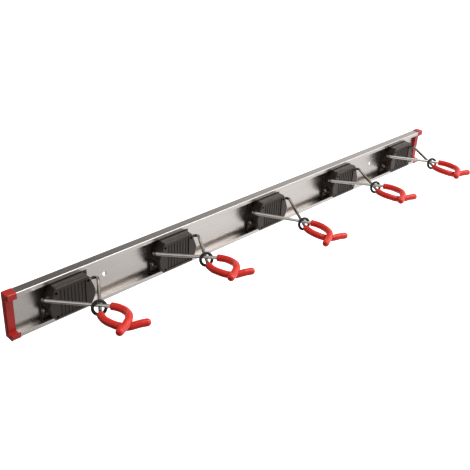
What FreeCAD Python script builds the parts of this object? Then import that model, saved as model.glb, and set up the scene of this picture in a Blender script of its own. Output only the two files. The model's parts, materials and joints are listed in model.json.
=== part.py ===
"""Clamp rack: a wall rail with sliding self-clamping tool holders.

The rail is a C-shaped aluminium extrusion, screwed to a wall through its back and closed by a cap at each
end.  Each holder is a moulded housing on a carriage that hooks behind the rail's two lips.  Two bent wire
arms hang in sloping bores through the housing, cross inside a rubber ring and end in dipped grips.  Because
the bores slope, lifting the arms spreads the grips and the weight of a tool draws them together.

Frame: origin at the centre of the rail's back face, X along the rail, -Y out of the wall, +Z up.
Sizes are millimetres and degrees.
"""

import FreeCAD, Part

import math
import os

import Sketcher
from FreeCAD import Placement, Rotation, Vector

SIZES = {
    # rail extrusion
    "rail_length": 1000,
    "rail_height": 75,
    "rail_depth": 15,
    "rail_wall": 1.8,
    "lip_height": 7,
    "lip_bead": 0.8,
    "rail_corner": 1.0,
    "wall_hole_pitch": 684,
    "wall_hole_radius": 2.75,
    "wall_hole_sink": 1.2,
    # end caps
    "cap_overhang": 13,
    "cap_lap": 2.6,
    "cap_skin": 1.0,
    "cap_lug_height": 9,
    "cap_spine_depth": 7.5,
    "cap_tongue_length": 12,
    "cap_tongue_height": 3.6,
    "cap_fit": 0.05,
    "cap_rounding": 2.2,
    # the holders' room at each end of the rail, and how far each is pushed from an even spacing
    "end_margin": 82,
    "push_1": 1,
    "push_2": -6.5,
    "push_3": 10,
    "push_4": 14,
    "push_5": 1.5,
    # carriage behind the lips
    "carriage_length": 87,
    "carriage_base": 4.8,
    "carriage_gap": 0.2,
    "carriage_lip_gap": 0.3,
    "carriage_side_gap": 0.4,
    "carriage_rounding": 4,
    # moulded housing
    "housing_proud": 14.5,
    "housing_top": 29,
    "housing_top_half": 27,
    "housing_bevel_drop": 2.5,
    "housing_bevel_out": 2.5,
    "housing_shoulder": 11.5,
    "housing_shoulder_half": 36,
    "housing_waist": 0.5,
    "housing_waist_half": 40,
    "housing_hip": -11.5,
    "housing_hip_half": 38,
    "housing_bottom": -24.5,
    "housing_bottom_half": 30.5,
    "housing_rounding": 1.5,
    "housing_rim_gap": 0.3,
    "panel_half": 23,
    "panel_top_margin": 5,
    "panel_bottom_margin": 4,
    "panel_depth": 1.6,
    "panel_rib_pitch": 6,
    "panel_rib_width": 1.6,
    "panel_rib_height": 0.9,
    "boss_radius": 6.4,
    "boss_proud": 0.6,
    # screws that join housing and carriage
    "screw_half_pitch_x": 27.2,
    "screw_height_top": 20.4,
    "screw_height_bottom": -19.8,
    "screw_well_radius": 2.2,
    "screw_head_radius": 2.0,
    "screw_head_depth": 12,
    "screw_head_height": 1.8,
    "screw_shank_radius": 1.3,
    "screw_shank_gap": 0.15,
    "screw_slot_width": 0.7,
    "screw_slot_depth": 0.7,
    # wire arms
    "wire_radius": 2.7,
    "leg_clearance": 0.05,
    "leg_slope": 15,
    "leg_spacing": 6.5,
    "leg_mean_y": -16.5,
    "head_radius": 3.5,
    "head_height": 1.0,
    "head_gap": 0.2,
    "arm_mean_z": 15.8,
    "arm_height_step": 3.0,
    "arm_corner_x": 55.5,
    "arm_corner_radius": 10,
    "hook_x": 28.5,
    "hook_reach": 131.5,
    "hook_radius": 38,
    "tail_x": 29.5,
    "tail_reach": 157.8,
    "arm_lead": 2.8,
    "arm_lift_ratio": 1.09,
    "swing_1": 3.1,
    "swing_2": 3.4,
    "swing_3": -4.1,
    "swing_4": -0.3,
    "swing_5": -2.3,
    # dipped grips
    "grip_radius": 4.2,
    "grip_cover": 79,
    "grip_fit": 0.05,
    # rubber ring
    "ring_radius": 9.6,
    "ring_cord_radius": 1.6,
    "ring_turn": 20,
    "ring_tilt": 15,
    "ring_shift": 1.0,
    "ring_seat_gap": 0.3,
}

HOLDERS = range(1, 6)
LEFT = -1
RIGHT = 1
SIDE_NAMES = {LEFT: "left", RIGHT: "right"}
HANG_STEPS = 4

doc = FreeCAD.newDocument("ClampRack")
sheet = doc.addObject("Spreadsheet::Sheet", "Sizes")
for row, (alias, number) in enumerate(SIZES.items(), start=1):
    sheet.set(f"A{row}", alias)
    sheet.set(f"B{row}", str(number))
    sheet.setAlias(f"B{row}", alias)
doc.recompute()


def size(alias):
    """The value that the sheet holds under an alias."""
    return float(getattr(sheet, alias))


def value(expression):
    """The number that a sheet expression gives."""
    return float(sheet.evalExpression(expression))


def bind(obj, **properties):
    """Bind properties to sheet expressions; a double underscore stands for a dot."""
    for name, expression in properties.items():
        obj.setExpression(name.replace("__", "."), expression)
    return obj


def new_body(label):
    """An empty PartDesign body with its own label."""
    body = doc.addObject("PartDesign::Body", label)
    body.Label = label
    return body


def origin_plane(body, role):
    """One of a body's own origin planes."""
    return next(item for item in body.Origin.OriginFeatures if item.Role == role)


def new_sketch(body, name, role, offset=None):
    """A sketch on an origin plane of its body, moved along the plane's normal by an expression."""
    sketch = body.newObject("Sketcher::SketchObject", name)
    sketch.AttachmentSupport = (origin_plane(body, role), "")
    sketch.MapMode = "FlatFace"
    if offset is not None:
        sketch.setExpression("AttachmentOffset.Base.z", offset)
    return sketch


def hold_point(sketch, geometry, position, x, y):
    """Pin one point of a sketch to two expressions."""
    for kind, expression in (("DistanceX", x), ("DistanceY", y)):
        index = sketch.addConstraint(
            Sketcher.Constraint(kind, -1, 1, geometry, position, value(expression))
        )
        sketch.setExpression(f"Constraints[{index}]", expression)


def add_outline(sketch, corners):
    """A closed outline of straight lines whose corners are pairs of expressions."""
    points = [Vector(value(x), value(y), 0) for x, y in corners]
    first = sketch.GeometryCount
    count = len(points)
    for i in range(count):
        sketch.addGeometry(Part.LineSegment(points[i], points[(i + 1) % count]), False)
    for i in range(count):
        sketch.addConstraint(Sketcher.Constraint("Coincident", first + i, 2, first + (i + 1) % count, 1))
    for i, (x, y) in enumerate(corners):
        hold_point(sketch, first + i, 1, x, y)


def add_circle(sketch, x, y, radius):
    """A circle whose centre and radius are expressions."""
    circle = Part.Circle(Vector(value(x), value(y), 0), Vector(0, 0, 1), value(radius))
    index = sketch.addGeometry(circle, False)
    hold_point(sketch, index, 3, x, y)
    constraint = sketch.addConstraint(Sketcher.Constraint("Radius", index, value(radius)))
    sketch.setExpression(f"Constraints[{constraint}]", radius)


def mirrored(half):
    """A full outline from its right half, listed from top to bottom, as expression pairs."""
    return list(half) + [(f"-({x})", y) for x, y in reversed(half)]


def pad(body, sketch, name, length, symmetric=False, reverse=False):
    """A pad of a sketch with its length bound to an expression."""
    feature = body.newObject("PartDesign::Pad", name)
    feature.Profile = sketch
    feature.setExpression("Length", length)
    feature.Midplane = symmetric
    feature.Reversed = reverse
    doc.recompute()
    return feature


def pocket(body, sketch, name, length, reverse=False):
    """A pocket of a sketch; the volume has to drop, or the cut points away from the solid."""
    before = body.Shape.Volume
    feature = body.newObject("PartDesign::Pocket", name)
    feature.Profile = sketch
    feature.setExpression("Length", length)
    feature.Reversed = reverse
    doc.recompute()
    if not body.Shape.Volume < before:
        raise RuntimeError(f"{name} cuts nothing")
    return feature


def edge_names(shape, test):
    """Names of the edges of a shape that pass a test."""
    return [f"Edge{i}" for i, edge in enumerate(shape.Edges, start=1) if test(edge)]


def runs_along(edge, direction):
    """Whether an edge is a straight one along a direction."""
    if not isinstance(edge.Curve, Part.Line):
        return False
    return edge.Curve.Direction.cross(direction).Length < 1e-6


def dress(body, kind, name, edges, property_name, expression):
    """A fillet or chamfer on named edges of a body's tip."""
    base = body.Tip
    feature = body.newObject(f"PartDesign::{kind}", name)
    feature.Base = (base, edges)
    feature.setExpression(property_name, expression)
    doc.recompute()
    if feature.Shape.isNull() or not feature.Shape.isValid():
        raise RuntimeError(f"{name} fails")
    return feature


# ---------------------------------------------------------------- rail


def make_rail():
    """C-shaped extrusion with beaded lips and countersunk wall holes through its back."""
    body = new_body("rail")
    half = "Sizes.rail_height / 2"
    inner = f"{half} - Sizes.rail_wall"
    lip = f"{half} - Sizes.lip_height"
    front = "-Sizes.rail_depth"
    lip_back = "-Sizes.rail_depth + Sizes.rail_wall"
    bead_back = f"{lip_back} + Sizes.lip_bead"
    upper = [
        ("0", half),
        (front, half),
        (front, lip),
        (bead_back, lip),
        (bead_back, f"{lip} + Sizes.lip_bead"),
        (lip_back, f"{lip} + 2 * Sizes.lip_bead"),
        (lip_back, inner),
        ("-Sizes.rail_wall", inner),
    ]
    lower = [(y, f"-({z})") for y, z in reversed(upper)]
    section = new_sketch(body, "RailSection", "YZ_Plane")
    add_outline(section, upper + lower)
    pad(body, section, "RailPad", "Sizes.rail_length", symmetric=True)

    holes = new_sketch(body, "WallHoles", "XZ_Plane")
    for sign in ("-", ""):
        add_circle(holes, f"{sign}Sizes.wall_hole_pitch / 2", "0", "Sizes.wall_hole_radius")
    pocket(body, holes, "WallHolePocket", "Sizes.rail_wall", reverse=True)

    inner_face = -size("rail_wall")
    mouths = edge_names(
        body.Shape,
        lambda edge: isinstance(edge.Curve, Part.Circle) and abs(edge.Curve.Center.y - inner_face) < 1e-6,
    )
    dress(body, "Chamfer", "WallHoleSinks", mouths, "Size", "Sizes.wall_hole_sink")

    outer = size("rail_height") / 2
    corners = edge_names(
        body.Shape,
        lambda edge: runs_along(edge, Vector(1, 0, 0))
        and abs(abs(edge.Vertexes[0].Z) - outer) < 1e-6
        and abs(edge.Vertexes[0].Y + size("rail_depth")) < 1e-6,
    )
    dress(body, "Fillet", "RailCorners", corners, "Radius", "Sizes.rail_corner")
    return body


def rail_strip(extrusion, label, back, front, foot, height):
    """A strip of the extrusion between two depths, from a foot upwards; none bends round the channel."""
    block = doc.addObject("Part::Box", f"{label}_block")
    bind(
        block,
        Length="Sizes.rail_length",
        Width=f"{front} - ({back})",
        Height=height,
        Placement__Base__x="-Sizes.rail_length / 2",
        Placement__Base__y=f"-({front})",
        Placement__Base__z=foot,
    )
    strip = doc.addObject("Part::Common", label)
    strip.Label = label
    strip.Base = extrusion
    strip.Tool = block
    return strip


def make_rail_strips():
    """The rail, parted where its flanges meet its back."""
    extrusion = make_rail()
    half = "Sizes.rail_height / 2"
    wall = "Sizes.rail_wall"
    depth = "Sizes.rail_depth"
    return [
        rail_strip(extrusion, "rail_back", "0", wall, f"-{half}", "Sizes.rail_height"),
        rail_strip(extrusion, "rail_upper_flange", wall, depth, "0", half),
        rail_strip(extrusion, "rail_lower_flange", wall, depth, f"-{half}", half),
    ]


# ---------------------------------------------------------------- end caps


def make_cap(label, side):
    """C-shaped end cap: a spine over the rail's end, a lug round each flange and a tongue inside each."""
    body = new_body(label)
    end = "Sizes.rail_length / 2"
    outside = f"{end} + Sizes.cap_overhang"
    half = "Sizes.rail_height / 2"
    top = f"{half} + Sizes.cap_skin"

    def across(expression):
        return expression if side == RIGHT else f"-({expression})"

    spine = new_sketch(body, "Spine", "XZ_Plane")
    add_outline(
        spine,
        [(across(end), top), (across(outside), top), (across(outside), f"-({top})"), (across(end), f"-({top})")],
    )
    pad(body, spine, "SpinePad", "Sizes.cap_spine_depth")

    lug_foot = f"{half} - Sizes.cap_lug_height"
    for sign, name in (("", "Upper"), ("-", "Lower")):
        lug = new_sketch(body, f"{name}Lug", "XZ_Plane")
        add_outline(
            lug,
            [
                (across(end), f"{sign}({top})"),
                (across(outside), f"{sign}({top})"),
                (across(outside), f"{sign}({lug_foot})"),
                (across(end), f"{sign}({lug_foot})"),
            ],
        )
        pad(body, lug, f"{name}LugPad", "Sizes.rail_depth + Sizes.cap_skin")

        flap = new_sketch(body, f"{name}Flap", "YZ_Plane", across(end))
        flange = f"{half} + Sizes.cap_fit"
        face = "-(Sizes.rail_depth + Sizes.cap_fit)"
        front = "-(Sizes.rail_depth + Sizes.cap_skin)"
        add_outline(
            flap,
            [
                ("0", f"{sign}({top})"),
                (front, f"{sign}({top})"),
                (front, f"{sign}({lug_foot})"),
                (face, f"{sign}({lug_foot})"),
                (face, f"{sign}({flange})"),
                ("0", f"{sign}({flange})"),
            ],
        )
        pad(body, flap, f"{name}FlapPad", "Sizes.cap_lap", reverse=side == RIGHT)

        tongue = new_sketch(body, f"{name}Tongue", "YZ_Plane", across(end))
        seat = f"{half} - Sizes.rail_wall - Sizes.cap_fit"
        tongue_foot = f"{seat} - Sizes.cap_tongue_height"
        tongue_back = "-(Sizes.rail_wall + Sizes.cap_fit)"
        tongue_front = "-(Sizes.rail_depth - Sizes.rail_wall - Sizes.cap_fit)"
        add_outline(
            tongue,
            [
                (tongue_back, f"{sign}({seat})"),
                (tongue_front, f"{sign}({seat})"),
                (tongue_front, f"{sign}({tongue_foot})"),
                (tongue_back, f"{sign}({tongue_foot})"),
            ],
        )
        pad(body, tongue, f"{name}TonguePad", "Sizes.cap_tongue_length", reverse=side == RIGHT)

    outer_x = size("rail_length") / 2 + size("cap_overhang")
    rim = edge_names(
        body.Shape,
        lambda edge: all(abs(abs(vertex.X) - outer_x) < 1e-6 for vertex in edge.Vertexes)
        and not all(abs(vertex.Y) < 1e-6 for vertex in edge.Vertexes),
    )
    dress(body, "Fillet", "CapRounding", rim, "Radius", "Sizes.cap_rounding")
    return body


# ---------------------------------------------------------------- holder


def station(holder):
    """Expression for where a holder stands along the rail."""
    first = "(Sizes.end_margin - Sizes.rail_length / 2)"
    pitch = f"(Sizes.rail_length - 2 * Sizes.end_margin) / {len(HOLDERS) - 1}"
    return f"{first} + {holder - 1} * {pitch} + Sizes.push_{holder}"


def make_carriage():
    """Slide behind the lips: a base on the rail's back and a rim behind each lip."""
    body = new_body("carriage_master")
    half = "Sizes.rail_height / 2 - Sizes.rail_wall - Sizes.carriage_side_gap"
    back = "-(Sizes.rail_wall + Sizes.carriage_gap)"
    base_front = f"{back} - Sizes.carriage_base"
    rim_front = "-(Sizes.rail_depth - Sizes.rail_wall - Sizes.lip_bead - Sizes.carriage_lip_gap)"
    rim_inner = "Sizes.housing_top + Sizes.housing_rim_gap"
    upper = [(back, half), (rim_front, half), (rim_front, rim_inner), (base_front, rim_inner)]
    lower = [(y, f"-({z})") for y, z in reversed(upper)]
    section = new_sketch(body, "CarriageSection", "YZ_Plane")
    add_outline(section, upper + lower)
    pad(body, section, "CarriagePad", "Sizes.carriage_length", symmetric=True)

    holes = new_sketch(body, "CarriageHoles", "XZ_Plane")
    for sign in ("-", ""):
        for height in ("Sizes.screw_height_top", "Sizes.screw_height_bottom"):
            add_circle(
                holes,
                f"{sign}Sizes.screw_half_pitch_x",
                height,
                "Sizes.screw_shank_radius + Sizes.screw_shank_gap",
            )
    pocket(body, holes, "CarriageHolePocket", "Sizes.rail_depth", reverse=True)

    outer = value(half)
    corners = edge_names(
        body.Shape,
        lambda edge: runs_along(edge, Vector(0, 1, 0)) and abs(abs(edge.Vertexes[0].Z) - outer) < 1e-6,
    )
    dress(body, "Fillet", "CarriageCorners", corners, "Radius", "Sizes.carriage_rounding")
    return body


def leg_line(side):
    """Start, at the arm's corner, and unit direction of a leg's axis through the housing."""
    slope = math.radians(size("leg_slope"))
    start = Vector(side * size("arm_corner_x"), root_y(side), root_z(side))
    return start, Vector(-side * math.cos(slope), 0, -math.sin(slope))


def root_y(side):
    """Depth of a leg's axis; the left arm's leg passes in front of the right one's."""
    return size("leg_mean_y") + side * size("leg_spacing") / 2


def root_z(side):
    """Height of an arm's corner; the left arm lies on the right one."""
    return size("arm_mean_z") - side * size("arm_height_step") / 2


def leg_length(side):
    """Distance along a leg from the arm's corner to the outer face of the far boss."""
    slope = math.radians(size("leg_slope"))
    return (size("arm_corner_x") + boss_face()) / math.cos(slope)


def boss_face():
    """Distance of a boss's face from the holder's centre plane."""
    return size("housing_waist_half") + size("boss_proud")


def make_housing():
    """Moulded housing: a waisted block with a ribbed front panel, screw wells and two crossing bores."""
    body = new_body("housing_master")
    half = [
        ("Sizes.housing_top_half", "Sizes.housing_top"),
        ("Sizes.housing_top_half + Sizes.housing_bevel_out", "Sizes.housing_top - Sizes.housing_bevel_drop"),
        ("Sizes.housing_shoulder_half", "Sizes.housing_shoulder"),
        ("Sizes.housing_waist_half", "Sizes.housing_waist"),
        ("Sizes.housing_hip_half", "Sizes.housing_hip"),
        ("Sizes.housing_bottom_half", "Sizes.housing_bottom"),
    ]
    rear = "Sizes.rail_wall + Sizes.carriage_gap + Sizes.carriage_base"
    front = "Sizes.rail_depth + Sizes.housing_proud"
    block = new_sketch(body, "HousingOutline", "XZ_Plane", rear)
    add_outline(block, mirrored(half))
    pad(body, block, "HousingPad", f"{front} - ({rear})")

    front_y = -value(front)
    rim = edge_names(
        body.Shape,
        lambda edge: all(abs(vertex.Y - front_y) < 1e-6 for vertex in edge.Vertexes),
    )
    dress(body, "Fillet", "HousingRounding", rim, "Radius", "Sizes.housing_rounding")

    panel = new_sketch(body, "PanelRecess", "XZ_Plane", front)
    panel_top = "Sizes.housing_top - Sizes.panel_top_margin"
    panel_foot = "Sizes.housing_bottom + Sizes.panel_bottom_margin"
    add_outline(
        panel,
        [
            ("Sizes.panel_half", panel_top),
            ("Sizes.panel_half", panel_foot),
            ("-Sizes.panel_half", panel_foot),
            ("-Sizes.panel_half", panel_top),
        ],
    )
    pocket(body, panel, "PanelPocket", "Sizes.panel_depth")

    rib_sketch = new_sketch(body, "PanelRib", "XZ_Plane", f"{front} - Sizes.panel_depth")
    rib_count = int(2 * size("panel_half") / size("panel_rib_pitch"))
    for i in range(rib_count):
        middle = f"({i} - {rib_count - 1} / 2) * Sizes.panel_rib_pitch"
        left = f"{middle} - Sizes.panel_rib_width / 2"
        right = f"{middle} + Sizes.panel_rib_width / 2"
        add_outline(rib_sketch, [(right, panel_top), (right, panel_foot), (left, panel_foot), (left, panel_top)])
    pad(body, rib_sketch, "PanelRibs", "Sizes.panel_rib_height")

    wells = new_sketch(body, "ScrewWells", "XZ_Plane", front)
    shafts = new_sketch(body, "ScrewShafts", "XZ_Plane", front)
    for sign in ("-", ""):
        for height in ("Sizes.screw_height_top", "Sizes.screw_height_bottom"):
            x = f"{sign}Sizes.screw_half_pitch_x"
            add_circle(wells, x, height, "Sizes.screw_well_radius")
            add_circle(shafts, x, height, "Sizes.screw_shank_radius + Sizes.screw_shank_gap")
    pocket(body, wells, "WellPocket", "Sizes.screw_head_depth")
    pocket(body, shafts, "ShaftPocket", f"{front} - ({rear})")

    bossed = doc.addObject("Part::MultiFuse", "housing_with_bosses")
    pieces = [body]
    for side in (LEFT, RIGHT):
        boss = doc.addObject("Part::Cylinder", f"boss_{SIDE_NAMES[side]}")
        bind(boss, Radius="Sizes.boss_radius")
        start, direction = leg_line(side)
        far = start + direction * leg_length(side)
        boss.Height = boss_face()
        boss.Placement = Placement(Vector(0, far.y, far.z), Rotation(Vector(0, 0, 1), Vector(-side, 0, 0)))
        pieces.append(boss)
    bossed.Shapes = pieces
    bores = doc.addObject("Part::MultiFuse", "leg_bores")
    drills = []
    for side in (LEFT, RIGHT):
        drill = doc.addObject("Part::Cylinder", f"bore_{SIDE_NAMES[side]}")
        bind(drill, Radius="Sizes.wire_radius + Sizes.leg_clearance")
        start, direction = leg_line(side)
        drill.Height = leg_length(side) + 2 * size("boss_radius")
        drill.Placement = Placement(start, Rotation(Vector(0, 0, 1), direction))
        drills.append(drill)
    bores.Shapes = drills
    drilled = doc.addObject("Part::Cut", "housing_drilled")
    drilled.Base = bossed
    drilled.Tool = bores
    doc.recompute()
    return drilled


def make_screws():
    """Four slotted screws, from the bottom of their wells into the carriage, as one group."""
    rear = size("rail_wall") + size("carriage_gap")
    head_seat = -(size("rail_depth") + size("housing_proud") - size("screw_head_depth"))
    outward = Vector(0, -1, 0)
    screws = []
    for x in (-size("screw_half_pitch_x"), size("screw_half_pitch_x")):
        for z in (size("screw_height_top"), size("screw_height_bottom")):
            seat = Vector(x, head_seat, z)
            head = Part.makeCylinder(size("screw_head_radius"), size("screw_head_height"), seat, outward)
            shank = Part.makeCylinder(
                size("screw_shank_radius"), -head_seat - rear, Vector(x, -rear, z), outward
            )
            slot = Part.makeBox(
                size("screw_slot_width"),
                size("screw_slot_depth"),
                2 * size("screw_head_radius"),
                Vector(
                    x - size("screw_slot_width") / 2,
                    head_seat - size("screw_head_height"),
                    z - size("screw_head_radius"),
                ),
            )
            screws.append(head.fuse(shank).cut(slot).removeSplitter())
    group = doc.addObject("Part::Feature", "screws_master")
    group.Shape = Part.makeCompound(screws)
    return group


def bent_path(points, radii):
    """Edges of a line through points whose inner corners are rounded by tangent arcs."""
    edges = []
    start = points[0]
    for before, corner, after, radius in zip(points, points[1:], points[2:], radii):
        inward = (before - corner).normalize()
        onward = (after - corner).normalize()
        half_angle = math.acos(inward.dot(onward)) / 2
        setback = radius / math.tan(half_angle)
        bisector = (inward + onward).normalize()
        centre = corner + bisector * (radius / math.sin(half_angle))
        first = corner + inward * setback
        last = corner + onward * setback
        middle = centre - bisector * radius
        edges.append(Part.LineSegment(start, first).toShape())
        edges.append(Part.Arc(first, middle, last).toShape())
        start = last
    edges.append(Part.LineSegment(start, points[-1]).toShape())
    return edges


def last_stretch(edges, length):
    """The last stretch of a path, of a given length."""
    kept = []
    for edge in reversed(edges):
        if length <= 0:
            break
        if edge.Length <= length:
            kept.insert(0, edge)
        else:
            parameter = edge.getParameterByLength(edge.Length - length)
            kept.insert(0, edge.Curve.toShape(parameter, edge.LastParameter))
        length -= edge.Length
    return kept


def swept_rod(edges, radius):
    """A round rod along a path."""
    first = edges[0]
    start = first.valueAt(first.FirstParameter)
    tangent = first.tangentAt(first.FirstParameter)
    section = Part.Face(Part.Wire([Part.Circle(start, tangent, radius).toShape()]))
    return Part.Wire(edges).makePipe(section)


def arm_points(side):
    """Bend points of an arm from its far leg end to its tail, from an origin at its corner."""
    start, direction = leg_line(side)
    corner_x = size("arm_corner_x")
    lean = size("head_radius") * math.tan(math.radians(size("leg_slope")))
    leg_end = direction * (leg_length(side) + lean + size("head_gap"))
    hook = Vector(side * (-size("hook_x") - corner_x), -size("hook_reach"), 0)
    tail = Vector(side * (size("tail_x") - corner_x), -size("tail_reach"), 0)
    return [leg_end, Vector(0, 0, 0), hook, tail]


def arm_edges(side):
    """Path of an arm's wire."""
    return bent_path(arm_points(side), [size("arm_corner_radius"), size("hook_radius")])


def make_arm(side):
    """Bent wire arm with a peened head on the end of its leg."""
    edges = arm_edges(side)
    rod = swept_rod(edges, size("wire_radius"))
    leg_end = arm_points(side)[0]
    outward = leg_line(side)[1]
    head = Part.makeCylinder(size("head_radius"), size("head_height"), leg_end, outward)
    arm = doc.addObject("Part::Feature", f"arm_{SIDE_NAMES[side]}_master")
    arm.Shape = rod.fuse(head).removeSplitter()
    return arm


def make_grip(side):
    """Dipped grip over the wire's last stretch, with a domed end."""
    edges = last_stretch(arm_edges(side), size("grip_cover"))
    skin = swept_rod(edges, size("grip_radius"))
    tail = arm_points(side)[-1]
    dome = Part.makeSphere(size("grip_radius"), tail)
    wire = swept_rod(edges, size("wire_radius") + size("grip_fit"))
    grip = doc.addObject("Part::Feature", f"grip_{SIDE_NAMES[side]}_master")
    grip.Shape = skin.fuse(dome).cut(wire).removeSplitter()
    return grip


def arm_placement(side, holder):
    """Where an arm stands at rest: its corner on its root, swung about its leg."""
    swing = size(f"swing_{holder}")
    if side == LEFT:
        swing = size("arm_lead") + size("arm_lift_ratio") * swing
    start, direction = leg_line(side)
    base = start + Vector(value(station(holder)), 0, 0)
    lift_axis = direction if side == RIGHT else -direction
    return Placement(base, Rotation(lift_axis, swing))


def crossing(holder):
    """Middle of the shortest line between the two arms, with the directions onward and upward there."""
    lines = []
    for side in (LEFT, RIGHT):
        place = arm_placement(side, holder)
        points = arm_points(side)
        origin = place.multVec(points[1])
        lines.append((origin, (place.multVec(points[2]) - origin).normalize()))
    (point_a, way_a), (point_b, way_b) = lines
    gap = point_b - point_a
    shared = way_a.dot(way_b)
    along_a = (gap.dot(way_a) - shared * gap.dot(way_b)) / (1 - shared * shared)
    along_b = (shared * gap.dot(way_a) - gap.dot(way_b)) / (1 - shared * shared)
    near_a = point_a + way_a * along_a
    near_b = point_b + way_b * along_b
    return (near_a + near_b) * 0.5, (way_a + way_b).normalize(), way_b.cross(way_a).normalize()


def add_ring(holder, upper_wire):
    """Rubber ring round both arms at their crossing, turned and tilted a little and hung on the upper wire."""
    ring = doc.addObject("Part::Torus", f"holder_{holder}_ring")
    bind(ring, Radius1="Sizes.ring_radius", Radius2="Sizes.ring_cord_radius")
    centre, onward, upward = crossing(holder)
    centre = centre + onward.cross(upward) * size("ring_shift")
    turned = Rotation(upward, -size("ring_turn")).multVec(onward)
    tilted = Rotation(turned.cross(upward), size("ring_tilt")).multVec(turned)
    ring.Placement = Placement(centre, Rotation(Vector(0, 0, 1), tilted))
    doc.recompute()
    for _ in range(HANG_STEPS):
        gap = ring.Shape.distToShape(upper_wire.Shape)[0]
        centre = centre - Vector(0, 0, gap - size("ring_seat_gap"))
        ring.Placement = Placement(centre, ring.Placement.Rotation)
    return ring


def add_copy(label, master, placement):
    """A placed copy of a master sub-part."""
    copy = doc.addObject("Part::Compound", label)
    copy.Label = label
    copy.Links = [master]
    copy.Placement = placement
    return copy


def add_holder(holder, masters):
    """The pieces of one holder at its station."""
    pieces = []
    for name in ("carriage", "housing", "screws"):
        copy = add_copy(f"holder_{holder}_{name}", masters[name], Placement())
        copy.setExpression("Placement.Base.x", station(holder))
        pieces.append(copy)
    for side in (LEFT, RIGHT):
        place = arm_placement(side, holder)
        for name in ("grip", "arm"):
            key = f"{name}_{SIDE_NAMES[side]}"
            pieces.append(add_copy(f"holder_{holder}_{key}", masters[key], place))
        if side == LEFT:
            upper_wire = pieces[-1]
    doc.recompute()
    pieces.append(add_ring(holder, upper_wire))
    return pieces


def check_and_export(pieces):
    """Stop on any failed object or bad shape, then write one file for each sub-part."""
    doc.recompute()
    for obj in doc.Objects:
        if "Invalid" in obj.State or "Error" in obj.State:
            raise RuntimeError(f"{obj.Label} failed: {obj.State}")
    for piece in pieces:
        if piece.Shape.isNull() or not piece.Shape.isValid() or not piece.Shape.Solids:
            raise RuntimeError(f"{piece.Label} has no valid solid")
    os.makedirs("parts", exist_ok=True)
    for piece in pieces:
        piece.Shape.exportStep(f"parts/{piece.Label}.step")


def main():
    """Build every sub-part and write it."""
    pieces = make_rail_strips() + [make_cap("end_cap_left", LEFT), make_cap("end_cap_right", RIGHT)]
    masters = {"carriage": make_carriage(), "housing": make_housing(), "screws": make_screws()}
    for side in (LEFT, RIGHT):
        masters[f"arm_{SIDE_NAMES[side]}"] = make_arm(side)
        masters[f"grip_{SIDE_NAMES[side]}"] = make_grip(side)
    for holder in HOLDERS:
        pieces += add_holder(holder, masters)
    check_and_export(pieces)


main()
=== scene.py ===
"""Looks of a wall rail with five sliding tool holders.

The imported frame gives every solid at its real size.  This script dresses it: it sweeps the wire arms and
their dipped grips as smooth rods, turns the rubber rings, softens the edges of the extrusion and the
mouldings, and gives each finish a material of its own.  Sizes of the pieces are millimetres.  The studio,
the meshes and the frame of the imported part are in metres.
"""

import json
import logging
import math
from dataclasses import dataclass, field
from enum import Enum

import bmesh
import bpy
import numpy as np
from mathutils import Euler, Matrix, Vector

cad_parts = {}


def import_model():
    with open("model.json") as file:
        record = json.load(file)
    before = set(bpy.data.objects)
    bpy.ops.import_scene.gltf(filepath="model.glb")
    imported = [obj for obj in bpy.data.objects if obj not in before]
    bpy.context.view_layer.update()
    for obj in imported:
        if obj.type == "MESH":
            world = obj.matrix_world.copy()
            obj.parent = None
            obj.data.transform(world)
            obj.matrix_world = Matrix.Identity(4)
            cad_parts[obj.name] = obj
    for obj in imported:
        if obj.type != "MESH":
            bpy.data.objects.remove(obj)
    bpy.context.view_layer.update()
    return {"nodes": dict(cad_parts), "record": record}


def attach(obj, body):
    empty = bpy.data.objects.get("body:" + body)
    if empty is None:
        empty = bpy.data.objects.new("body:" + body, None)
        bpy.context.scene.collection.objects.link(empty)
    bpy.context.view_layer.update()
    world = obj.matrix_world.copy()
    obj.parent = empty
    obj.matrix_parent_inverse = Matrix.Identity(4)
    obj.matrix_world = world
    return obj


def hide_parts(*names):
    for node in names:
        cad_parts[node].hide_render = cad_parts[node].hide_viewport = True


LOG = logging.getLogger("clamp_rack")
MM = 0.001
HOLDER_COUNT = 5
NOISE_ROUGHNESS = 0.55
NOISE_MIDDLE = (0.3, 0.7)

Span = tuple[float, float]
Triple = tuple[float, float, float]
Colour = tuple[float, float, float, float]


# ---------------------------------------------------------------- node tools


def linear(hex_colour: str) -> Colour:
    """Turn an sRGB hex colour into linear red, green, blue and alpha.

    Args:
        hex_colour: Six hex digits, such as "C8102E".

    Returns:
        The colour as a shader socket takes it.
    """

    def channel(pair: str) -> float:
        """Linear value of one two-digit channel."""
        share = int(pair, 16) / 255
        return share / 12.92 if share <= 0.04045 else ((share + 0.055) / 1.055) ** 2.4

    return (*(channel(hex_colour[i : i + 2]) for i in (0, 2, 4)), 1.0)


def feed(tree: bpy.types.NodeTree, node: bpy.types.Node, inputs: dict) -> None:
    """Fill or link the inputs of a node.

    Args:
        tree: Shader or geometry tree that holds the node.
        node: Node whose inputs are set.
        inputs: Input name or number to a value, or to the socket that feeds it.
    """
    for key, value in inputs.items():
        if isinstance(value, bpy.types.NodeSocket):
            tree.links.new(value, node.inputs[key])
        else:
            node.inputs[key].default_value = value


def add_node(tree: bpy.types.NodeTree, kind: str, inputs: dict | None = None, **settings) -> bpy.types.Node:
    """Add a node, set its properties, and fill or link its inputs.

    Args:
        tree: Shader or geometry tree that gets the node.
        kind: Identifier of the node type.
        inputs: Input name or number to a value, or to the socket that feeds it.
        **settings: Properties of the node itself.

    Returns:
        The new node.
    """
    node = tree.nodes.new(kind)
    for name, value in settings.items():
        setattr(node, name, value)
    feed(tree, node, inputs or {})
    return node


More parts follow.
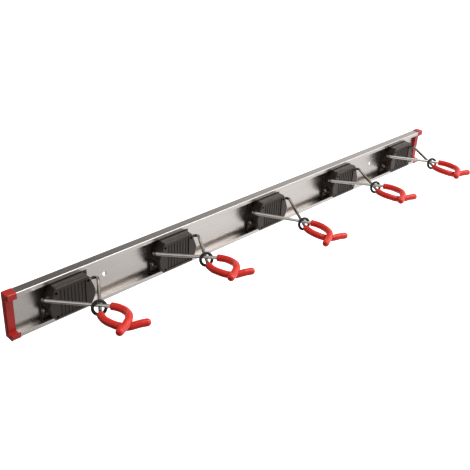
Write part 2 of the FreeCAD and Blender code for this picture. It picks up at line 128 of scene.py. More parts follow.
def empty_tree(owner: bpy.types.Material | bpy.types.World) -> bpy.types.NodeTree:
    """Give a material or a world an empty node tree."""
    owner.use_nodes = True
    owner.node_tree.nodes.clear()
    return owner.node_tree


def graded(
    tree: bpy.types.NodeTree,
    value: bpy.types.NodeSocket,
    span: Span,
    ends: Span = (0, 1),
    curve: str = "SMOOTHSTEP",
) -> bpy.types.NodeSocket:
    """Map a span of a value onto two ends, clamped.

    Args:
        tree: Tree that gets the node.
        value: Value to map.
        span: Values that give the first and the last end.
        ends: What those two values give.
        curve: Identifier of the interpolation.

    Returns:
        The mapped value.
    """
    inputs = {"Value": value, "From Min": span[0], "From Max": span[1], "To Min": ends[0], "To Max": ends[1]}
    return add_node(tree, "ShaderNodeMapRange", inputs, interpolation_type=curve).outputs["Result"]


def mixed(
    tree: bpy.types.NodeTree, factor: bpy.types.NodeSocket, first: Colour, second: Colour
) -> bpy.types.NodeSocket:
    """Mix two linear colours by a factor."""
    node = add_node(tree, "ShaderNodeMix", {"Factor": factor}, data_type="RGBA")
    colours = [socket for socket in node.inputs if socket.type == "RGBA"]
    colours[0].default_value = first
    colours[1].default_value = second
    return next(socket for socket in node.outputs if socket.type == "RGBA")


def object_pattern(tree: bpy.types.NodeTree, along_rail: float = 1) -> bpy.types.NodeSocket:
    """Object coordinates; a factor below 1 draws a pattern out along the rail."""
    place = add_node(tree, "ShaderNodeTexCoord").outputs["Object"]
    inputs = {"Vector": place, "Scale": (along_rail, 1, 1)}
    return add_node(tree, "ShaderNodeMapping", inputs).outputs["Vector"]


def noise(
    tree: bpy.types.NodeTree, vector: bpy.types.NodeSocket, size_mm: float, detail: float = 2
) -> bpy.types.NodeSocket:
    """Noise between 0 and 1 whose features are about a size in millimetres."""
    inputs = {"Vector": vector, "Scale": 1 / (size_mm * MM), "Detail": detail, "Roughness": NOISE_ROUGHNESS}
    return add_node(tree, "ShaderNodeTexNoise", inputs).outputs["Fac"]


def spread(tree: bpy.types.NodeTree, pattern: bpy.types.NodeSocket, ends: Span) -> bpy.types.NodeSocket:
    """Map the middle range of a noise, where nearly all its values lie, onto two ends."""
    return graded(tree, pattern, NOISE_MIDDLE, ends, "LINEAR")


def embossed(
    tree: bpy.types.NodeTree, height: bpy.types.NodeSocket, depth_mm: float, strength: float
) -> bpy.types.NodeSocket:
    """Normals of a surface that a pattern raises by a depth in millimetres."""
    inputs = {"Height": height, "Strength": strength, "Distance": depth_mm * MM}
    return add_node(tree, "ShaderNodeBump", inputs).outputs["Normal"]


def lit_inside(weight: float, reach_mm: Triple) -> dict:
    """Shader inputs for light that travels a little way under the skin of a plastic."""
    reach = tuple(distance * MM for distance in reach_mm)
    return {"Subsurface Weight": weight, "Subsurface Radius": reach, "Subsurface Scale": 1.0}


# ---------------------------------------------------------------- finishes


class Finish:
    """Base of every finish: it makes one material and keeps it for the pieces that share it."""

    name: str
    made: dict[str, bpy.types.Material] = {}

    def material(self) -> bpy.types.Material:
        """The finish's material, made on first use."""
        if self.name not in Finish.made:
            material = bpy.data.materials.new(self.name)
            tree = empty_tree(material)
            shader = add_node(tree, "ShaderNodeBsdfPrincipled")
            add_node(tree, "ShaderNodeOutputMaterial", {"Surface": shader.outputs["BSDF"]})
            feed(tree, shader, self.inputs(tree))
            Finish.made[self.name] = material
        return Finish.made[self.name]

    def inputs(self, tree: bpy.types.NodeTree) -> dict:
        """Make the finish's patterns and say what feeds each input of its shader."""
        raise NotImplementedError


@dataclass(frozen=True)
class ExtrudedAluminium(Finish):
    """Mill-finish aluminium 6060: fine die lines along the extrusion draw reflections out across it."""

    name: str = "mill_finish_aluminium"
    colour: str = "C6C1BD"
    dull: str = "B3ADA9"
    roughness: Span = (0.25, 0.36)
    patch_mm: float = 60
    patch_stretch: float = 0.25
    line_mm: float = 1.1  # real lines are near 0.2 mm, drawn coarser so that they show
    line_stretch: float = 0.004
    line_depth_mm: float = 0.005

    def inputs(self, tree: bpy.types.NodeTree) -> dict:
        """Die lines in bump and roughness, with broad dull patches."""
        lines = noise(tree, object_pattern(tree, self.line_stretch), self.line_mm, detail=3)
        patches = noise(tree, object_pattern(tree, self.patch_stretch), self.patch_mm)
        return {
            "Base Color": mixed(tree, patches, linear(self.colour), linear(self.dull)),
            "Roughness": spread(tree, lines, self.roughness),
            "Metallic": 1.0,
            "Normal": embossed(tree, lines, self.line_depth_mm, strength=0.5),
        }


@dataclass(frozen=True)
class MouldedNylon(Finish):
    """Glass-filled black nylon from a spark-eroded mould: a fine even grain that greys at low angles."""

    name: str = "moulded_nylon_black"
    colour: str = "261C15"
    worn: str = "34281F"
    roughness: Span = (0.34, 0.48)
    scuff_mm: float = 9
    grain_mm: float = 0.9  # real grain is near 0.1 mm, drawn coarser so that it shows
    grain_depth_mm: float = 0.05

    def inputs(self, tree: bpy.types.NodeTree) -> dict:
        """Grain in the bump, with faint lighter scuffs."""
        place = object_pattern(tree)
        grain = noise(tree, place, self.grain_mm, detail=4)
        scuffs = noise(tree, place, self.scuff_mm, detail=4)
        return {
            "Base Color": mixed(tree, scuffs, linear(self.colour), linear(self.worn)),
            "Roughness": spread(tree, scuffs, self.roughness),
            "IOR": 1.53,
            "Specular IOR Level": 0.36,
            "Normal": embossed(tree, grain, self.grain_depth_mm, strength=0.35),
        }


@dataclass(frozen=True)
class ZincPlatedWire(Finish):
    """Bright zinc on drawn steel wire: clean mirror streaks broken by faint drawing marks."""

    name: str = "zinc_plated_wire"
    colour: str = "CAC6C0"
    cloudy: str = "ADA9A3"
    roughness: Span = (0.14, 0.24)
    cloud_mm: float = 7
    mark_mm: float = 1.2
    mark_depth_mm: float = 0.02

    def inputs(self, tree: bpy.types.NodeTree) -> dict:
        """Cloudy plating in colour and roughness, with drawing marks in the bump."""
        place = object_pattern(tree)
        clouds = noise(tree, place, self.cloud_mm, detail=3)
        marks = noise(tree, place, self.mark_mm)
        return {
            "Base Color": mixed(tree, clouds, linear(self.colour), linear(self.cloudy)),
            "Roughness": spread(tree, clouds, self.roughness),
            "Metallic": 1.0,
            "Normal": embossed(tree, marks, self.mark_depth_mm, strength=0.2),
        }


@dataclass(frozen=True)
class DippedVinyl(Finish):
    """PVC plastisol dip: soft, deep red, with a wet gloss over a slightly uneven skin."""

    name: str = "dipped_vinyl_red"
    colour: str = "EA2D18"
    deep: str = "D82212"
    roughness: Span = (0.26, 0.36)
    drift_mm: float = 14
    sag_mm: float = 5
    sag_depth_mm: float = 0.12
    light_reach_mm: Triple = (2.2, 0.4, 0.3)

    def inputs(self, tree: bpy.types.NodeTree) -> dict:
        """Slow colour drift, shallow sags and a little light under the skin."""
        place = object_pattern(tree)
        drift = noise(tree, place, self.drift_mm)
        sags = noise(tree, place, self.sag_mm)
        return {
            "Base Color": mixed(tree, drift, linear(self.colour), linear(self.deep)),
            "Roughness": spread(tree, drift, self.roughness),
            "IOR": 1.5,
            "Specular IOR Level": 0.4,
            "Normal": embossed(tree, sags, self.sag_depth_mm, strength=0.4),
            **lit_inside(0.08, self.light_reach_mm),
        }


@dataclass(frozen=True)
class MouldedPolypropylene(Finish):
    """Satin red polypropylene: a smooth moulding whose flow shows as a faint drift in its gloss."""

    name: str = "moulded_polypropylene_red"
    colour: str = "C4261D"
    deep: str = "AE1C16"
    roughness: Span = (0.36, 0.46)
    flow_mm: float = 18
    grain_mm: float = 0.8
    grain_depth_mm: float = 0.03
    light_reach_mm: Triple = (1.6, 0.3, 0.2)

    def inputs(self, tree: bpy.types.NodeTree) -> dict:
        """Flow marks in colour and gloss, with a fine grain."""
        place = object_pattern(tree)
        flow = noise(tree, place, self.flow_mm)
        grain = noise(tree, place, self.grain_mm)
        return {
            "Base Color": mixed(tree, flow, linear(self.colour), linear(self.deep)),
            "Roughness": spread(tree, flow, self.roughness),
            "IOR": 1.49,
            "Normal": embossed(tree, grain, self.grain_depth_mm, strength=0.25),
            **lit_inside(0.08, self.light_reach_mm),
        }


@dataclass(frozen=True)
class MouldedRubber(Finish):
    """Black nitrile rubber ring: matt, with a dusty bloom."""

    name: str = "nitrile_rubber"
    colour: str = "0D0D0C"
    dusty: str = "191A18"
    roughness: Span = (0.42, 0.6)
    bloom_mm: float = 4
    bloom_depth_mm: float = 0.05

    def inputs(self, tree: bpy.types.NodeTree) -> dict:
        """Bloom in colour, roughness and bump."""
        bloom = noise(tree, object_pattern(tree), self.bloom_mm, detail=4)
        return {
            "Base Color": mixed(tree, bloom, linear(self.colour), linear(self.dusty)),
            "Roughness": spread(tree, bloom, self.roughness),
            "IOR": 1.52,
            "Specular IOR Level": 0.3,
            "Normal": embossed(tree, bloom, self.bloom_depth_mm, strength=0.3),
        }


@dataclass(frozen=True)
class BlackenedSteel(Finish):
    """Black-oxide screw steel: nearly black, with a dull metal shine."""

    name: str = "black_oxide_steel"
    colour: str = "3A3937"
    rubbed: str = "5A5855"
    roughness: Span = (0.32, 0.48)
    patch_mm: float = 1.5

    def inputs(self, tree: bpy.types.NodeTree) -> dict:
        """Rubbed patches in colour and roughness."""
        patches = noise(tree, object_pattern(tree), self.patch_mm, detail=3)
        return {
            "Base Color": mixed(tree, patches, linear(self.colour), linear(self.rubbed)),
            "Roughness": spread(tree, patches, self.roughness),
            "Metallic": 1.0,
        }


# ---------------------------------------------------------------- mesh tools


def new_piece(name: str, mesh: bpy.types.Mesh) -> bpy.types.Object:
    """Link a new object at the origin that shows a mesh."""
    piece = bpy.data.objects.new(name, mesh)
    bpy.context.scene.collection.objects.link(piece)
    return piece


def smooth_piece(name: str, shape: bmesh.types.BMesh) -> bpy.types.Object:
    """Turn a shape into a smooth-shaded object at the origin, and free the shape."""
    mesh = bpy.data.meshes.new(name)
    shape.to_mesh(mesh)
    shape.free()
    mesh.shade_smooth()
    return new_piece(name, mesh)


def baked(piece: bpy.types.Object, name: str) -> bpy.types.Object:
    """Replace a piece by the plain mesh that its modifiers make.

    Args:
        piece: Object with live modifiers, which is removed.
        name: Name of the finished piece.

    Returns:
        A new object at the origin with no modifiers.
    """
    graph = bpy.context.evaluated_depsgraph_get()
    mesh = bpy.data.meshes.new_from_object(piece.evaluated_get(graph))
    bpy.data.objects.remove(piece)
    mesh.name = name
    return new_piece(name, mesh)


def dressed(piece: bpy.types.Object, finish: Finish, body: str, nodes: tuple[str, ...]) -> None:
    """Give a piece its material and its body, and let it stand for its solids.

    Args:
        piece: Finished piece.
        finish: Finish of its whole surface.
        body: Body that it rides on.
        nodes: Solids that it stands for.
    """
    piece.data.materials.clear()
    piece.data.materials.append(finish.material())
    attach(piece, body)
    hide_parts(*nodes)
    LOG.info("%s: %d faces on %s", piece.name, len(piece.data.polygons), body)


def join_flat_faces(shape: bmesh.types.BMesh, turn_deg: float = 0.5) -> None:
    """Join neighbouring faces that turn by less than an angle into one."""
    bmesh.ops.dissolve_limit(shape, angle_limit=math.radians(turn_deg), verts=shape.verts, edges=shape.edges)


def flat_faced(source: bpy.types.Object, name: str, seam_mm: float = 0.002) -> bpy.types.Object:
    """Copy a mesh and join its loose triangles into flat faces that point outwards.

    Args:
        source: Object whose mesh is copied, which stays as it is.
        name: Name of the new piece.
        seam_mm: Largest gap between triangles that belong together.

    Returns:
        The new piece.
    """
    shape = bmesh.new()
    shape.from_mesh(source.data)
    bmesh.ops.remove_doubles(shape, verts=shape.verts, dist=seam_mm * MM)
    join_flat_faces(shape)
    bmesh.ops.recalc_face_normals(shape, faces=shape.faces)
    return smooth_piece(name, shape)


def joined(sources: list[bpy.types.Object], name: str, operation: str = "UNION") -> bpy.types.Object:
    """Unite solids that touch face to face into one, or cut the others out of the first.

    Args:
        sources: The solids, which stay as they are.
        name: Name of the new piece.
        operation: Kind of boolean, "UNION" or "DIFFERENCE".

    Returns:
        The new piece.
    """
    whole, *others = (flat_faced(source, f"{name}_{i}") for i, source in enumerate(sources))
    for other in others:
        step = whole.modifiers.new("join", "BOOLEAN")
        step.operation = operation
        step.solver = "EXACT"
        step.object = other
    piece = baked(whole, name)
    for other in others:
        bpy.data.objects.remove(other)
    return piece


def softened(source: bpy.types.Object, name: str, width_mm: float, sharp_deg: float = 28) -> bpy.types.Object:
    """Copy a solid and round its sharp edges.

    Args:
        source: Solid to copy, which stays as it is.
        name: Name of the new piece.
        width_mm: Width of the rounding.
        sharp_deg: Smallest turn between two faces that is rounded.

    Returns:
        The softened piece.
    """
    piece = flat_faced(source, name + "_raw")
    bevel = piece.modifiers.new("soft_edges", "BEVEL")
    bevel.width = width_mm * MM
    bevel.segments = 2
    bevel.limit_method = "ANGLE"
    bevel.angle_limit = math.radians(sharp_deg)
    bevel.use_clamp_overlap = True
    flats = piece.modifiers.new("flat_faces", "WEIGHTED_NORMAL")
    flats.mode = "FACE_AREA"
    flats.weight = 100
    return baked(piece, name)


class Rod:
    """A round rod of changing thickness along a path, swept by Geometry Nodes."""

    tree: bpy.types.NodeTree | None = None
    thickness_name = "thickness"

    @classmethod
    def sweep_tree(cls) -> bpy.types.NodeTree:
        """The shared tree: an edge path with a thickness on each point becomes a closed rod."""
        if cls.tree is None:
            tree = bpy.data.node_groups.new("sweep_rod", "GeometryNodeTree")
            for name, way, kind in (
                ("Geometry", "INPUT", "NodeSocketGeometry"),
                ("Sides", "INPUT", "NodeSocketInt"),
                ("Finish", "INPUT", "NodeSocketMaterial"),
                ("Geometry", "OUTPUT", "NodeSocketGeometry"),
            ):
                tree.interface.new_socket(name, in_out=way, socket_type=kind)
            entry = add_node(tree, "NodeGroupInput")
            thickness = add_node(
                tree, "GeometryNodeInputNamedAttribute", {"Name": cls.thickness_name}, data_type="FLOAT"
            )
            line = add_node(tree, "GeometryNodeMeshToCurve", {"Mesh": entry.outputs["Geometry"]})
            section = add_node(
                tree,
                "GeometryNodeCurvePrimitiveCircle",
                {"Resolution": entry.outputs["Sides"], "Radius": 1.0},
            )
            rod = add_node(
                tree,
                "GeometryNodeCurveToMesh",
                {
                    "Curve": line.outputs["Curve"],
                    "Profile Curve": section.outputs["Curve"],
                    "Scale": thickness.outputs["Attribute"],
                    "Fill Caps": True,
                },
            )
            smooth = add_node(tree, "GeometryNodeSetShadeSmooth", {"Geometry": rod.outputs["Mesh"]})
            whole = add_node(tree, "GeometryNodeRealizeInstances", {"Geometry": smooth.outputs["Geometry"]})
            finished = add_node(
                tree,
                "GeometryNodeSetMaterial",
                {"Geometry": whole.outputs["Geometry"], "Material": entry.outputs["Finish"]},
            )
            add_node(tree, "NodeGroupOutput", {"Geometry": finished.outputs["Geometry"]})
            cls.tree = tree
        return cls.tree

    @classmethod
    def sweep(
        cls, name: str, points: list[Vector], radii: list[float], finish: Finish, sides: int
    ) -> bpy.types.Object:
        """Sweep a closed rod.

        Args:
            name: Name of the piece.
            points: Path, in metres.
            radii: Radius at each point, in metres.
            finish: Finish of the rod.
            sides: Number of sides of its section.

        Returns:
            The rod as a plain mesh.
        """
        mesh = bpy.data.meshes.new(name)
        mesh.from_pydata(points, [(i, i + 1) for i in range(len(points) - 1)], [])
        thickness = mesh.attributes.new(cls.thickness_name, "FLOAT", "POINT")
        thickness.data.foreach_set("value", radii)
        piece = new_piece(name + "_path", mesh)
        modifier = piece.modifiers.new("sweep", "NODES")
        modifier.node_group = cls.sweep_tree()
        values = {"Sides": sides, "Finish": finish.material()}
        for item in modifier.node_group.interface.items_tree:
            if item.in_out == "INPUT" and item.name in values:
                modifier[item.identifier] = values[item.name]
        return baked(piece, name)


def rounded_path(
    corners: list[Vector], radii: list[float], step: float, fewest_arc_steps: int = 4
) -> list[Vector]:
    """Points along straight runs whose inner corners are tangent arcs.

    Args:
        corners: Ends and corners of the runs.
        radii: Radius of the arc at each inner corner.
        step: Largest distance between two points.
        fewest_arc_steps: Fewest steps along an arc.

    Returns:
        Points along the path, evenly spaced on each run and each arc.
    """
    path = [corners[0]]

    def run_to(end: Vector) -> None:
        """Add a straight run."""
        start = path[-1]
        count = max(1, math.ceil((end - start).length / step))
        path.extend(start.lerp(end, i / count) for i in range(1, count + 1))

    for before, corner, after, radius in zip(corners, corners[1:], corners[2:], radii):
        inward = (before - corner).normalized()
        onward = (after - corner).normalized()
        half_angle = inward.angle(onward) / 2
        first = corner + inward * (radius / math.tan(half_angle))
        last = corner + onward * (radius / math.tan(half_angle))
        centre = corner + (inward + onward).normalized() * (radius / math.sin(half_angle))
        run_to(first)
        sweep = math.pi - 2 * half_angle
        count = max(fewest_arc_steps, math.ceil(radius * sweep / step))
        first_arm = first - centre
        last_arm = last - centre
        for i in range(1, count + 1):
            share = i / count
            path.append(
                centre
                + first_arm * (math.sin((1 - share) * sweep) / math.sin(sweep))
                + last_arm * (math.sin(share * sweep) / math.sin(sweep))
            )
    run_to(corners[-1])
    return path


# ---------------------------------------------------------------- sub-assemblies


class Side(Enum):
    """The two arms of a holder."""

    LEFT = -1
    RIGHT = 1


@dataclass
class Rail:
    """The extrusion and its two end caps, in millimetres."""

    strips: tuple[str, ...] = ("rail_back", "rail_upper_flange", "rail_lower_flange")
    channel_half_length: float = 499.9
    channel_depth: float = 15.2
    channel_half_height: float = 35.8
    edge: float = 0.3
    cap_edge: float = 1.1
    cap_corner: float = 2.2
    cap_corner_segments: int = 4
    plane_slack: float = 0.01

    def build(self, nodes: dict[str, bpy.types.Object]) -> None:
        """Unite the extrusion's strips and dress it and its caps."""
        whole = joined([nodes[strip] for strip in self.strips], "extrusion")
        rail = softened(whole, "aluminium_rail", self.edge)
        bpy.data.objects.remove(whole)
        dressed(rail, ExtrudedAluminium(), "rail", self.strips)
        for end in ("left", "right"):
            trimmed = self.without_tongues(nodes[f"end_cap_{end}"])
            self.round_outline(trimmed)
            cap = softened(trimmed, f"moulded_cap_{end}", self.cap_edge)
            bpy.data.objects.remove(trimmed)
            dressed(cap, MouldedPolypropylene(), "rail", (f"end_cap_{end}",))

    def without_tongues(self, cap: bpy.types.Object) -> bpy.types.Object:
        """Copy a cap without the two tongues that reach into the channel.

        Args:
            cap: The cap's solid.

        Returns:
            The shortened copy.
        """
        depth = self.channel_depth * MM
        size = (2 * self.channel_half_length * MM, depth, 2 * self.channel_half_height * MM, 1)
        place = Matrix.Translation((0, -depth / 2, 0)) @ Matrix.Diagonal(size)
        shape = bmesh.new()
        bmesh.ops.create_cube(shape, size=1, matrix=place)
        channel = smooth_piece("channel", shape)
        trimmed = joined([cap, channel], f"{cap.name}_trimmed", "DIFFERENCE")
        bpy.data.objects.remove(channel)
        return trimmed

    def round_outline(self, cap: bpy.types.Object) -> None:
        """Round the edges where the front of a cap meets its top and its bottom.

        Args:
            cap: Trimmed cap, whose mesh is changed.
        """
        shape = bmesh.new()
        shape.from_mesh(cap.data)
        join_flat_faces(shape)
        end = max((vertex.co.x for vertex in shape.verts), key=abs)
        front = min(vertex.co.y for vertex in shape.verts)
        top = max(vertex.co.z for vertex in shape.verts)

        def planes(edge: bmesh.types.BMEdge) -> int:
            """How many of the planes at the cap's end, front, top and bottom an edge lies in."""
            misses = (
                [vertex.co.x - end for vertex in edge.verts],
                [vertex.co.y - front for vertex in edge.verts],
                [abs(vertex.co.z) - top for vertex in edge.verts],
            )
            return sum(max(map(abs, miss)) < self.plane_slack * MM for miss in misses)

        bmesh.ops.bevel(
            shape,
            geom=[edge for edge in shape.edges if planes(edge) >= 2],
            offset=self.cap_corner * MM,
            segments=self.cap_corner_segments,
            profile=0.5,
            affect="EDGES",
            clamp_overlap=True,
        )
        shape.to_mesh(cap.data)
        shape.free()


@dataclass
class ArmShape:
    """Sizes of a bent wire arm and its dipped grip, from its corner above the leg.

    Lengths are millimetres and the slope is degrees.
    """

    wire_radius: float = 2.7
    leg_slope: float = 15
    boss_face: float = 40.6
    head_gap: float = 0.2
    head_radius: float = 3.5
    head_height: float = 1.0
    corner_x: float = 55.5
    corner_radius: float = 10
    hook_x: float = 28.5
    hook_reach: float = 131.5
    hook_radius: float = 38
    tail_x: float = 29.5
    tail_reach: float = 157.8
    grip_radius: float = 5.75
    grip_tip: float = 4.2
    left_cover: float = 85.5
    right_cover: float = 81
    left_rise: float = 2.15
    right_rise: float = -2.3
    rise_reach: float = 26
    lip_length: float = 1.8
    lip_steps: int = 6
    lip_bite: float = 0.97  # share of the wire's radius where the lip's edge sinks into the wire
    skin_drift: float = 0.16
    skin_wave: float = 17
    ripple: float = 0.6
    ripple_rate: float = 2.3
    fade_length: float = 6
    dome_steps: int = 9
    dome_point: float = 0.04
    step: float = 0.8
    head_crown: tuple[Span, ...] = (  # shares of the head's height and radius, from its face to its foot
        (1.0, 0.3),
        (0.97, 0.62),
        (0.88, 0.84),
        (0.7, 0.96),
        (0.45, 1.0),
        (0.12, 1.0),
        (0.0, 0.94),
    )

    def corners(self, side: Side) -> list[Vector]:
        """Ends and corners of the wire, from the far end of the leg to the tail."""
        slope = math.radians(self.leg_slope)
        along_leg = Vector((-side.value * math.cos(slope), 0, -math.sin(slope)))
        through = (self.corner_x + self.boss_face) / math.cos(slope)
        leg_end = along_leg * (through + self.head_radius * math.tan(slope) + self.head_gap)
        hook = Vector((side.value * (-self.hook_x - self.corner_x), -self.hook_reach, 0))
        tail = Vector((side.value * (self.tail_x - self.corner_x), -self.tail_reach, 0))
        return [leg_end, Vector(), hook, tail]

    def wire(self, side: Side) -> list[Vector]:
        """Points along the wire."""
        return rounded_path(self.corners(side), [self.corner_radius, self.hook_radius], self.step)

    def headed_wire(self, side: Side) -> tuple[list[Vector], list[float]]:
        """The wire with a peened head on its leg.

        Args:
            side: Which arm.

        Returns:
            Points along the rod and the radius at each.
        """
        wire = self.wire(side)
        outward = (wire[0] - wire[1]).normalized()
        points = [wire[0] + outward * (self.head_height * height) for height, _ in self.head_crown]
        radii = [self.head_radius * share for _, share in self.head_crown]
        return points + wire, radii + [self.wire_radius] * len(wire)

    def skin_line(self, side: Side) -> list[Vector]:
        """Middle of the dipped skin, from its lip to the centre of its dome.

        The skin is a little thicker on one side of the wire where the two grips pass over each other, so that
        they lie one on the other and don't meet.

        Args:
            side: Which arm.

        Returns:
            Points along the skin.
        """
        cover = self.left_cover if side is Side.LEFT else self.right_cover
        rise = self.left_rise if side is Side.LEFT else self.right_rise
        _, _, hook, tail = self.corners(side)
        crossing = hook.lerp(tail, self.hook_x / (self.hook_x + self.tail_x))
        dome_centre = self.grip_radius - self.grip_tip
        line = []
        length = 0.0
        wire = self.wire(side)
        last = wire[-1]
        for point in reversed(wire):
            length += (point - last).length
            last = point
            if length > cover:
                break
            if length >= dome_centre:
                share = min(1.0, (point - crossing).length / self.rise_reach)
                line.append(point + Vector((0, 0, rise * (1 + math.cos(math.pi * share)) / 2)))
        line.reverse()
        return line

    def skin_dip(self, along: float, whole: float, phase: float) -> float:
        """How far the skin dips at a length along it.

        Args:
            along: Length from the start of the lip.
            whole: Length of the whole skin, up to the centre of its dome.
            phase: Where the unevenness starts.

        Returns:
            The dip, which fades out at the lip and at the dome.
        """
        turn = along / self.skin_wave * math.tau
        wave = math.sin(turn + phase) + self.ripple * math.sin(turn * self.ripple_rate + 2 * phase)
        fade = min(1.0, (along - self.lip_length) / self.fade_length, (whole - along) / self.fade_length)
        return self.skin_drift * max(0.0, fade) * (1 + wave) / (2 + self.ripple)

    def grip(self, side: Side, phase: float) -> tuple[list[Vector], list[float]]:
        """The dipped skin over the wire's last stretch: a rolled lip, a slightly uneven tube and a dome.

        Args:
            side: Which arm.
            phase: Where the skin's unevenness starts, so that no two grips are alike.

        Returns:
            Points along the skin and the radius at each.
        """
        covered = self.skin_line(side)
        whole = sum((after - before).length for before, after in zip(covered, covered[1:]))
        start = covered[0]
        onward = (covered[1] - start).normalized()
        lip_height = self.grip_radius - self.wire_radius
        points = []
        radii = []
        for i in range(self.lip_steps + 1):
            turn = math.pi / 2 * i / self.lip_steps
            points.append(start + onward * (self.lip_length * (1 - math.cos(turn))))
            radii.append(self.wire_radius + lip_height * math.sin(turn))
        radii[0] = self.wire_radius * self.lip_bite
        along = self.lip_length
        last = points[-1]
        for point in covered:
            if (point - start).length <= self.lip_length:
                continue
            along += (point - last).length
            last = point
            points.append(point)
            radii.append(self.grip_radius - self.skin_dip(along, whole, phase))
        tail = covered[-1]
        outward = (tail - covered[-2]).normalized()
        for i in range(1, self.dome_steps + 1):
            turn = math.pi / 2 * i / self.dome_steps
            points.append(tail + outward * (self.grip_radius * math.sin(turn)))
            radii.append(max(self.grip_radius * math.cos(turn), self.dome_point))
        return points, radii


@dataclass
class Holder:
    """One sliding holder: its mouldings, screws, two arms with grips and the ring that they cross in.

    Lengths are millimetres and lifts are degrees.
    """

    number: int
    arm: ArmShape = field(default_factory=ArmShape)
    lowest_lift: float = -6.5
    arm_lead: float = 2.8
    housing_edge: float = 0.35
    carriage_edge: float = 0.4
    carriage_end_from: float = 35
    carriage_end_back: float = 3.4
    screw_edge: float = 0.12
    wire_sides: int = 28
    grip_sides: int = 32
    phase_by_number: float = 1.9  # radians, as is the next one
    phase_by_side: float = 0.8
    ring_radius: float = 9.7
    ring_cord_radius: float = 2.5
    ring_flash: float = 0.07
    ring_flash_reach: float = 0.25  # radians round the cord, to each side of the mould line
    ring_turns: int = 72
    ring_sides: int = 28

    @property
    def name(self) -> str:
        """The holder's body name, which starts the names of its solids."""
        return f"holder_{self.number}"

    def build(self, nodes: dict[str, bpy.types.Object], behaviour: dict) -> None:
        """Make and dress every piece of the holder."""
        self.build_mouldings(nodes)
        joints = {joint["name"]: joint for joint in behaviour["joints"]}
        ratios = {coupling["joint"]: coupling["ratio"] for coupling in behaviour["couplings"]}
        lift = self.lowest_lift - joints[f"{self.name}_swing_right"]["range_deg"][0]
        swings = {
            Side.RIGHT: lift,
            Side.LEFT: self.arm_lead + lift * ratios[f"{self.name}_swing_left"],
        }
        for side, swing in swings.items():
            self.build_arm(side, swing, joints[f"{self.name}_swing_{side.name.lower()}"])
        self.build_ring(nodes[f"{self.name}_ring"])

    def build_mouldings(self, nodes: dict[str, bpy.types.Object]) -> None:
        """Dress the housing, the carriage and the screws."""
        plans = (
            ("housing", "ribbed_housing", self.housing_edge, MouldedNylon(), "housing_black"),
            ("carriage", "sliding_carriage", self.carriage_edge, MouldedNylon(), "carriage_black"),
            ("screws", "slotted_screws", self.screw_edge, BlackenedSteel(), "screw_black"),
        )
        for part, title, edge, finish, slot in plans:
            node = f"{self.name}_{part}"
            piece = softened(nodes[node], f"{title}_{self.number}", edge)
            if part == "carriage":
                self.draw_in_ends(piece)
            dressed(piece, finish, self.name, (node,))

    def draw_in_ends(self, carriage: bpy.types.Object) -> None:
        """Move a carriage's two ends inwards, so that the housing covers them."""
        across = [vertex.co.x for vertex in carriage.data.vertices]
        middle = (max(across) + min(across)) / 2
        for vertex in carriage.data.vertices:
            off = vertex.co.x - middle
            if abs(off) > self.carriage_end_from * MM:
                vertex.co.x -= math.copysign(self.carriage_end_back * MM, off)

    def build_arm(self, side: Side, swing: float, joint: dict) -> None:
        """Make one arm and its grip where they rest.

        Args:
            side: Which arm.
            swing: How far the arm is swung up at rest, in degrees.
            joint: The arm's hinge in the record.
        """
        word = side.name.lower()
        turn = Matrix.Rotation(math.radians(swing), 4, Vector(joint["axis"]))
        place = Matrix.Translation(joint["pos_m"]) @ turn
        grip = self.arm.grip(side, self.phase_by_number * self.number + self.phase_by_side * side.value)
        plans = (
            ("wire_arm", "arm", self.arm.headed_wire(side), ZincPlatedWire(), "wire_zinc", self.wire_sides),
            ("dipped_grip", "grip", grip, DippedVinyl(), "grip_red", self.grip_sides),
        )
        for title, part, (points, radii), finish, slot, sides in plans:
            rod = Rod.sweep(
                f"{title}_{word}_{self.number}",
                [place @ (point * MM) for point in points],
                [radius * MM for radius in radii],
                finish,
                sides,
            )
            node = f"{self.name}_{part}_{word}"
            dressed(rod, finish, f"arm_{word}_{self.number}", (node,))

    def ring_place(self, node: bpy.types.Object) -> Matrix:
        """Where the ring's solid lies, as a frame whose Z is the ring's axis."""
        points = np.array([vertex.co for vertex in node.data.vertices])
        centre = (points.max(axis=0) + points.min(axis=0)) / 2
        _, _, ways = np.linalg.svd(points - points.mean(axis=0), full_matrices=False)
        axis = Vector(ways[2]).normalized()
        return Matrix.Translation(centre) @ axis.to_track_quat("Z", "Y").to_matrix().to_4x4()

    def ring_point(self, around: float, roll: float) -> Vector:
        """Point of the ring's skin, in metres.

        Args:
            around: Angle round the ring's axis, in radians.
            roll: Angle round its cord, in radians, from the outermost line; the mould line is innermost.

        Returns:
            The point, in the ring's own frame.
        """
        line = max(0.0, 1 - abs(math.remainder(roll - math.pi, math.tau)) / self.ring_flash_reach)
        thick = self.ring_cord_radius - self.ring_flash * (1 - line)
        out = self.ring_radius + thick * math.cos(roll)
        return Vector((out * math.cos(around), out * math.sin(around), thick * math.sin(roll))) * MM

    def build_ring(self, node: bpy.types.Object) -> None:
        """Make the rubber ring with its mould line, in the place of its solid."""
        place = self.ring_place(node)
        shape = bmesh.new()
        loops = []
        for i in range(self.ring_turns):
            around = math.tau * i / self.ring_turns
            rolls = (math.tau * j / self.ring_sides for j in range(self.ring_sides))
            loops.append([shape.verts.new(place @ self.ring_point(around, roll)) for roll in rolls])
        for i, loop in enumerate(loops):
            following = loops[(i + 1) % self.ring_turns]
            for j in range(self.ring_sides):
                k = (j + 1) % self.ring_sides
                shape.faces.new((loop[j], following[j], following[k], loop[k]))
        bmesh.ops.recalc_face_normals(shape, faces=shape.faces)
        ring = smooth_piece(f"rubber_ring_{self.number}", shape)
        dressed(ring, MouldedRubber(), f"ring_{self.number}", (node.name,))


